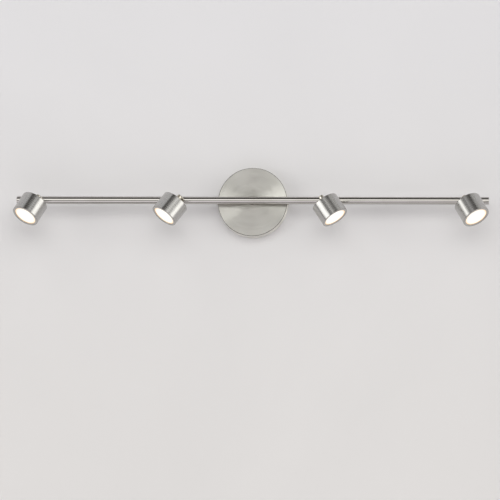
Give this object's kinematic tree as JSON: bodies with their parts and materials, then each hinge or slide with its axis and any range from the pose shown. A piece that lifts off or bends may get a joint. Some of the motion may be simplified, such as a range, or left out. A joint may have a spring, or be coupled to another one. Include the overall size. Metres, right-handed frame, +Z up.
{
  "type": "track lighting fixture",
  "caption": "Straight-rail spotlight bar with a round wall or ceiling canopy and swivelling, tilting LED drum heads.",
  "frame": {"origin": "on the canopy's axis, in the plane of the wall, at the centre of the bracket's box-screw slots", "axes": "+X along the rail, +Y into the wall, +Z up; the whole object lies at y <= 0"},
  "size_m": [0.8214, 0.106, 0.12],
  "materials": {
    "brushed_nickel": "brushed nickel plate, turned in circles",
    "satin_nickel": "satin nickel, finely turned",
    "polished_nickel": "polished nickel plate",
    "zinc_steel": "zinc plated",
    "green_screw": "green passivated",
    "white_plastic": "moulded, matt",
    "grey_plastic": "moulded, matt",
    "red_wire": "insulated wire",
    "black_wire": "insulated wire",
    "bare_aluminium": "die cast",
    "led_board": "white solder mask",
    "reflector_white": "matt white",
    "opal_diffuser": "opal, lit warm white"
  },
  "bodies": {
    "root": {"canopy_cover": "brushed_nickel", "mounting_bracket": "zinc_steel", "canopy_screws": "polished_nickel", "ground_screw": "green_screw", "centre_saddle": "polished_nickel", "rail_nipple": "zinc_steel", "nipple_nut": "zinc_steel", "driver_case": "white_plastic", "terminal_block": "grey_plastic", "positive_wire": "red_wire", "negative_wire": "black_wire", "rail_tube": "polished_nickel", "end_plugs": "polished_nickel", "front_saddles": "polished_nickel", "rear_saddles": "polished_nickel", "spring_washers": "zinc_steel"},
    "post_1": {"swivel_post_1": "polished_nickel", "post_nut_1": "polished_nickel"},
    "head_1": {"neck_knuckle_1": "polished_nickel", "pivot_screw_1": "zinc_steel", "drum_shell_1": "satin_nickel", "heat_sink_1": "bare_aluminium", "led_board_1": "led_board", "reflector_cup_1": "reflector_white", "diffuser_lens_1": "opal_diffuser", "bezel_ring_1": "satin_nickel", "head_leads_1": "black_wire"},
    "post_2": {"swivel_post_2": "polished_nickel", "post_nut_2": "polished_nickel"},
    "head_2": {"neck_knuckle_2": "polished_nickel", "pivot_screw_2": "zinc_steel", "drum_shell_2": "satin_nickel", "heat_sink_2": "bare_aluminium", "led_board_2": "led_board", "reflector_cup_2": "reflector_white", "diffuser_lens_2": "opal_diffuser", "bezel_ring_2": "satin_nickel", "head_leads_2": "black_wire"},
    "post_3": {"swivel_post_3": "polished_nickel", "post_nut_3": "polished_nickel"},
    "head_3": {"neck_knuckle_3": "polished_nickel", "pivot_screw_3": "zinc_steel", "drum_shell_3": "satin_nickel", "heat_sink_3": "bare_aluminium", "led_board_3": "led_board", "reflector_cup_3": "reflector_white", "diffuser_lens_3": "opal_diffuser", "bezel_ring_3": "satin_nickel", "head_leads_3": "black_wire"},
    "post_4": {"swivel_post_4": "polished_nickel", "post_nut_4": "polished_nickel"},
    "head_4": {"neck_knuckle_4": "polished_nickel", "pivot_screw_4": "zinc_steel", "drum_shell_4": "satin_nickel", "heat_sink_4": "bare_aluminium", "led_board_4": "led_board", "reflector_cup_4": "reflector_white", "diffuser_lens_4": "opal_diffuser", "bezel_ring_4": "satin_nickel", "head_leads_4": "black_wire"}
  },
  "joints": [
    {"name": "pan_1", "type": "hinge", "parent": "root", "child": "post_1", "pos_m": [-0.369, -0.0665, 0], "axis": [0, 1, 0], "range_deg": [-191.9, 138.1]},
    {"name": "tilt_1", "type": "hinge", "parent": "post_1", "child": "head_1", "pos_m": [-0.369, -0.0665, 0], "axis": [0.8918, 0, -0.4524], "range_deg": [-67.3, 22.7]},
    {"name": "pan_2", "type": "hinge", "parent": "root", "child": "post_2", "pos_m": [-0.123, -0.0665, 0], "axis": [0, 1, 0], "range_deg": [-199.5, 130.5]},
    {"name": "tilt_2", "type": "hinge", "parent": "post_2", "child": "head_2", "pos_m": [-0.123, -0.0665, 0], "axis": [0.8241, 0, -0.5664], "range_deg": [-73.9, 16.1]},
    {"name": "pan_3", "type": "hinge", "parent": "root", "child": "post_3", "pos_m": [0.123, -0.0665, 0], "axis": [0, 1, 0], "range_deg": [-131.2, 198.8]},
    {"name": "tilt_3", "type": "hinge", "parent": "post_3", "child": "head_3", "pos_m": [0.123, -0.0665, 0], "axis": [0.831, 0, 0.5563], "range_deg": [-80.2, 9.8]},
    {"name": "pan_4", "type": "hinge", "parent": "root", "child": "post_4", "pos_m": [0.369, -0.0665, 0], "axis": [0, 1, 0], "range_deg": [-135.2, 194.8]},
    {"name": "tilt_4", "type": "hinge", "parent": "post_4", "child": "head_4", "pos_m": [0.369, -0.0665, 0], "axis": [0.8678, 0, 0.497], "range_deg": [-70.9, 19.1]}
  ]
}
